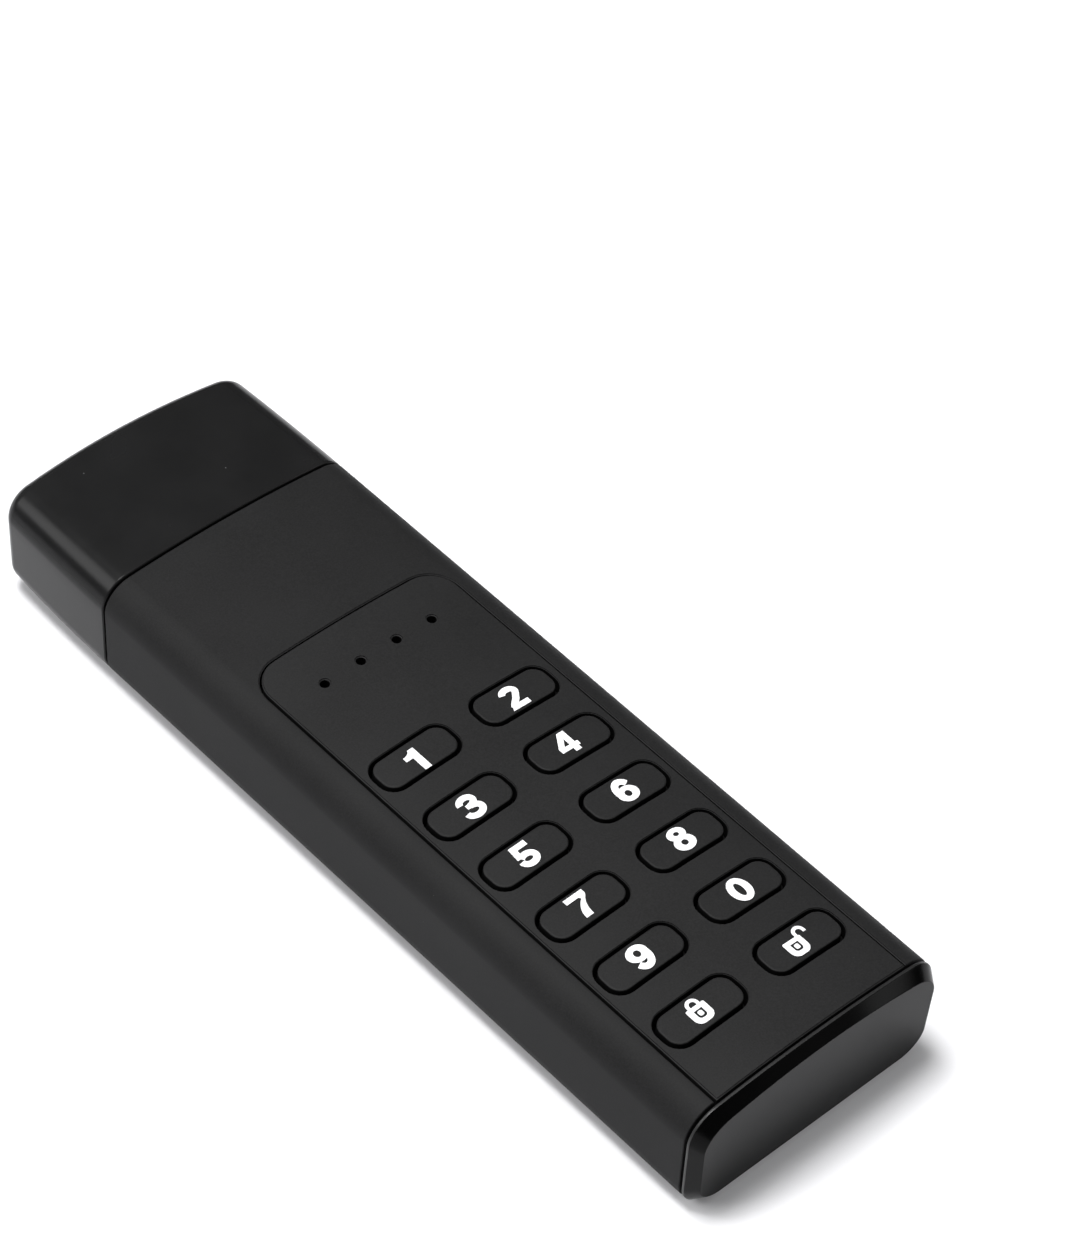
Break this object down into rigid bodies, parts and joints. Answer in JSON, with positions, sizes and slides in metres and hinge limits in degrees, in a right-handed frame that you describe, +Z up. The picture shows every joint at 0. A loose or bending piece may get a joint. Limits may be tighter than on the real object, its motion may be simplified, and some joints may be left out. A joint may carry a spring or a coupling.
{
  "type": "usb flash drive",
  "caption": "Slim black USB stick with a two-column push-button keypad, status light holes, a gloss tail and a pull-off gloss cap over a USB-A plug.",
  "frame": {"origin": "under the middle of the capped stick, on the plane it lies on", "axes": "+X across the stick, to the right seen from the tail; +Y along the stick towards the plug and cap; +Z up out of the keypad"},
  "size_m": [0.0296, 0.0976, 0.013],
  "materials": {
    "housing_plastic": "fine-textured matte black",
    "panel_plastic": "satin black",
    "key_plastic": "satin black with white printed digits",
    "gloss_plastic": "polished black",
    "nose_plastic": "satin black",
    "frame_plastic": "moulded black",
    "liner_plastic": "moulded black",
    "circuit_board": "green solder mask",
    "chip_package": "moulded chip package",
    "crystal_can": "plated can",
    "switch_steel": "plated switch cover",
    "screw_steel": "zinc-plated",
    "status_light_lens": "clear epoxy",
    "clear_plastic": "clear moulding",
    "plug_steel": "bright nickel-plated steel",
    "tongue_plastic": "black insulator",
    "contact_gold": "gold-plated"
  },
  "bodies": {
    "housing": {"housing_sleeve": "housing_plastic", "keypad_panel": "panel_plastic", "switch_1": "switch_steel", "switch_2": "switch_steel", "switch_3": "switch_steel", "switch_4": "switch_steel", "switch_5": "switch_steel", "switch_6": "switch_steel", "switch_7": "switch_steel", "switch_8": "switch_steel", "switch_9": "switch_steel", "switch_0": "switch_steel", "switch_lock": "switch_steel", "switch_unlock": "switch_steel", "tail_cap": "gloss_plastic", "nose_collar": "nose_plastic", "inner_frame": "frame_plastic", "circuit_board": "circuit_board", "controller_chip": "chip_package", "encryption_chip": "chip_package", "flash_chip_1": "chip_package", "flash_chip_2": "chip_package", "voltage_regulator": "chip_package", "power_inductor": "chip_package", "crystal": "crystal_can", "board_screw_1": "screw_steel", "board_screw_2": "screw_steel", "status_light_1": "status_light_lens", "status_light_2": "status_light_lens", "status_light_3": "status_light_lens", "status_light_4": "status_light_lens", "light_guide": "clear_plastic", "plug_shell": "plug_steel", "plug_tongue": "tongue_plastic", "usb_contact_1": "contact_gold", "usb_contact_2": "contact_gold", "usb_contact_3": "contact_gold", "usb_contact_4": "contact_gold", "usb_rear_contact_1": "contact_gold", "usb_rear_contact_2": "contact_gold", "usb_rear_contact_3": "contact_gold", "usb_rear_contact_4": "contact_gold", "usb_rear_contact_5": "contact_gold"},
    "cap": {"cap_shell": "gloss_plastic", "cap_liner": "liner_plastic"},
    "key_1_body": {"key_1": "key_plastic"},
    "key_2_body": {"key_2": "key_plastic"},
    "key_3_body": {"key_3": "key_plastic"},
    "key_4_body": {"key_4": "key_plastic"},
    "key_5_body": {"key_5": "key_plastic"},
    "key_6_body": {"key_6": "key_plastic"},
    "key_7_body": {"key_7": "key_plastic"},
    "key_8_body": {"key_8": "key_plastic"},
    "key_9_body": {"key_9": "key_plastic"},
    "key_0_body": {"key_0": "key_plastic"},
    "key_lock_body": {"key_lock": "key_plastic"},
    "key_unlock_body": {"key_unlock": "key_plastic"}
  },
  "joints": [
    {"name": "cap_slide", "type": "slide", "parent": "housing", "child": "cap", "axis": [0, 1, 0], "range_m": [0, 0.03]},
    {"name": "key_1_press", "type": "slide", "parent": "housing", "child": "key_1_body", "axis": [0, 0, -1], "range_m": [0, 0.0004], "stiffness_N_per_m": 1500},
    {"name": "key_2_press", "type": "slide", "parent": "housing", "child": "key_2_body", "axis": [0, 0, -1], "range_m": [0, 0.0004], "stiffness_N_per_m": 1500},
    {"name": "key_3_press", "type": "slide", "parent": "housing", "child": "key_3_body", "axis": [0, 0, -1], "range_m": [0, 0.0004], "stiffness_N_per_m": 1500},
    {"name": "key_4_press", "type": "slide", "parent": "housing", "child": "key_4_body", "axis": [0, 0, -1], "range_m": [0, 0.0004], "stiffness_N_per_m": 1500},
    {"name": "key_5_press", "type": "slide", "parent": "housing", "child": "key_5_body", "axis": [0, 0, -1], "range_m": [0, 0.0004], "stiffness_N_per_m": 1500},
    {"name": "key_6_press", "type": "slide", "parent": "housing", "child": "key_6_body", "axis": [0, 0, -1], "range_m": [0, 0.0004], "stiffness_N_per_m": 1500},
    {"name": "key_7_press", "type": "slide", "parent": "housing", "child": "key_7_body", "axis": [0, 0, -1], "range_m": [0, 0.0004], "stiffness_N_per_m": 1500},
    {"name": "key_8_press", "type": "slide", "parent": "housing", "child": "key_8_body", "axis": [0, 0, -1], "range_m": [0, 0.0004], "stiffness_N_per_m": 1500},
    {"name": "key_9_press", "type": "slide", "parent": "housing", "child": "key_9_body", "axis": [0, 0, -1], "range_m": [0, 0.0004], "stiffness_N_per_m": 1500},
    {"name": "key_0_press", "type": "slide", "parent": "housing", "child": "key_0_body", "axis": [0, 0, -1], "range_m": [0, 0.0004], "stiffness_N_per_m": 1500},
    {"name": "key_lock_press", "type": "slide", "parent": "housing", "child": "key_lock_body", "axis": [0, 0, -1], "range_m": [0, 0.0004], "stiffness_N_per_m": 1500},
    {"name": "key_unlock_press", "type": "slide", "parent": "housing", "child": "key_unlock_body", "axis": [0, 0, -1], "range_m": [0, 0.0004], "stiffness_N_per_m": 1500}
  ]
}
